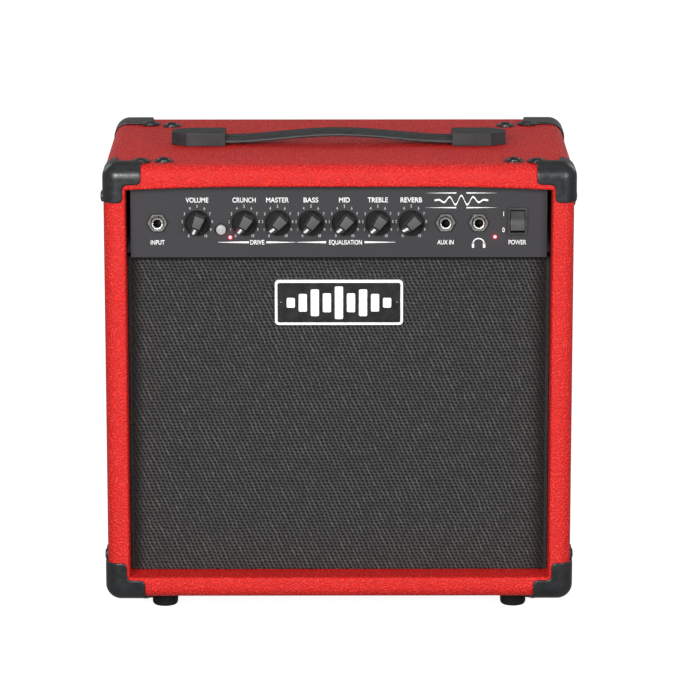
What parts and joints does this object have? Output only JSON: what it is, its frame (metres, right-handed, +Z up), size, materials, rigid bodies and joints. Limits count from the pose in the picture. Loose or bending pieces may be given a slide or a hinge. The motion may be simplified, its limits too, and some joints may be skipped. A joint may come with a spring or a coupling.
{
  "type": "guitar amplifier",
  "caption": "Compact open-back guitar combo: a red vinyl-covered cabinet with a loudspeaker behind grille cloth, recessed controls, corner protectors and a strap handle.",
  "frame": {"origin": "on the floor under the middle of the cabinet", "axes": "+Z up, +X to the right seen from the front, +Y to the rear, so the grille faces -Y"},
  "size_m": [0.3788, 0.232, 0.381],
  "materials": {
    "red_vinyl_on_wood": "textured red vinyl covering over board",
    "black_board": "black painted board",
    "grille_cloth": "woven grey and black speaker cloth",
    "badge_plastic": "black field with a white rim",
    "faceplate": "satin dark grey with white printing",
    "chassis_steel": "zinc plated",
    "black_knob": "satin black with a white pointer line",
    "grey_button": "light grey",
    "red_led": "lit red",
    "nickel": "nickel plated",
    "black_plastic": "satin black",
    "handle_cap_plastic": "satin black",
    "strap_rubber": "ribbed black",
    "corner_plastic": "black with a slight shine",
    "foot_rubber": "matt black",
    "speaker_paper": "matt black pressed paper",
    "speaker_surround": "doped cloth",
    "speaker_spider": "impregnated tan cloth",
    "copper_coil": "copper winding on a former",
    "magnet": "ceramic ring between dark steel plates",
    "basket_steel": "black painted pressed steel",
    "circuit_board": "green board with grey components",
    "transformer": "laminated steel with a taped winding",
    "bolt_steel": "black"
  },
  "bodies": {
    "cabinet": {"cabinet_top": "red_vinyl_on_wood", "cabinet_bottom": "red_vinyl_on_wood", "cabinet_left": "red_vinyl_on_wood", "cabinet_right": "red_vinyl_on_wood", "baffle_board": "black_board", "grille_cloth": "grille_cloth", "badge": "badge_plastic", "chassis": "chassis_steel", "control_panel": "faceplate", "drive_led": "red_led", "power_led": "red_led", "input_jack": "black_plastic", "aux_jack": "black_plastic", "phones_jack": "black_plastic", "input_jack_nut": "nickel", "aux_jack_nut": "nickel", "phones_jack_nut": "nickel", "power_switch_housing": "black_plastic", "handle_cap_left": "handle_cap_plastic", "handle_cap_right": "handle_cap_plastic", "handle_strap_left": "strap_rubber", "handle_strap_right": "strap_rubber", "corner_front_top_left": "corner_plastic", "corner_front_top_right": "corner_plastic", "corner_front_bottom_left": "corner_plastic", "corner_front_bottom_right": "corner_plastic", "corner_rear_top_left": "corner_plastic", "corner_rear_top_right": "corner_plastic", "corner_rear_bottom_left": "corner_plastic", "corner_rear_bottom_right": "corner_plastic", "foot_front_left": "foot_rubber", "foot_front_right": "foot_rubber", "foot_rear_left": "foot_rubber", "foot_rear_right": "foot_rubber", "speaker_basket": "basket_steel", "speaker_magnet": "magnet", "speaker_surround": "speaker_surround", "speaker_spider": "speaker_spider", "back_panel": "black_board", "mains_inlet": "black_plastic", "control_board": "circuit_board", "mains_transformer": "transformer", "chassis_bolt_left_front": "bolt_steel", "chassis_bolt_left_rear": "bolt_steel", "chassis_bolt_right_front": "bolt_steel", "chassis_bolt_right_rear": "bolt_steel"},
    "volume_knob": {"knob_volume": "black_knob"},
    "gain_knob": {"knob_gain": "black_knob"},
    "master_knob": {"knob_master": "black_knob"},
    "bass_knob": {"knob_bass": "black_knob"},
    "mid_knob": {"knob_mid": "black_knob"},
    "treble_knob": {"knob_treble": "black_knob"},
    "reverb_knob": {"knob_reverb": "black_knob"},
    "channel_button": {"channel_button": "grey_button"},
    "rocker": {"power_rocker": "black_plastic"},
    "fuse_drawer": {"fuse_drawer": "black_plastic"},
    "cone": {"speaker_cone": "speaker_paper", "dust_cap": "speaker_paper", "voice_coil": "copper_coil"},
    "strap": {"handle_strap_center": "strap_rubber"}
  },
  "joints": [
    {"name": "volume_turn", "type": "hinge", "parent": "cabinet", "child": "volume_knob", "pos_m": [-0.1122, -0.101, 0.321], "axis": [0, 1, 0], "range_deg": [0, 300]},
    {"name": "gain_turn", "type": "hinge", "parent": "cabinet", "child": "gain_knob", "pos_m": [-0.075, -0.101, 0.321], "axis": [0, 1, 0], "range_deg": [0, 300]},
    {"name": "master_turn", "type": "hinge", "parent": "cabinet", "child": "master_knob", "pos_m": [-0.04855, -0.101, 0.321], "axis": [0, 1, 0], "range_deg": [0, 300]},
    {"name": "bass_turn", "type": "hinge", "parent": "cabinet", "child": "bass_knob", "pos_m": [-0.0221, -0.101, 0.321], "axis": [0, 1, 0], "range_deg": [0, 300]},
    {"name": "mid_turn", "type": "hinge", "parent": "cabinet", "child": "mid_knob", "pos_m": [0.00435, -0.101, 0.321], "axis": [0, 1, 0], "range_deg": [0, 300]},
    {"name": "treble_turn", "type": "hinge", "parent": "cabinet", "child": "treble_knob", "pos_m": [0.0308, -0.101, 0.321], "axis": [0, 1, 0], "range_deg": [0, 300]},
    {"name": "reverb_turn", "type": "hinge", "parent": "cabinet", "child": "reverb_knob", "pos_m": [0.05725, -0.101, 0.321], "axis": [0, 1, 0], "range_deg": [0, 300]},
    {"name": "channel_press", "type": "slide", "parent": "cabinet", "child": "channel_button", "axis": [0, 1, 0], "range_m": [0, 0.0025], "stiffness_N_per_m": 400},
    {"name": "power_rock", "type": "hinge", "parent": "cabinet", "child": "rocker", "pos_m": [0.1415, -0.1003, 0.322], "axis": [1, 0, 0], "range_deg": [0, 18]},
    {"name": "fuse_drawer_slide", "type": "slide", "parent": "cabinet", "child": "fuse_drawer", "axis": [0, 1, 0], "range_m": [0, 0.015]},
    {"name": "cone_travel", "type": "slide", "parent": "cabinet", "child": "cone", "axis": [0, 1, 0], "range_m": [-0.003, 0.003], "stiffness_N_per_m": 1500, "deforming": ["speaker_surround", "speaker_spider"]},
    {"name": "handle_lift", "type": "slide", "parent": "cabinet", "child": "strap", "axis": [0, 0, 1], "range_m": [0, 0.015], "stiffness_N_per_m": 300, "deforming": ["handle_strap_left", "handle_strap_right"]}
  ]
}
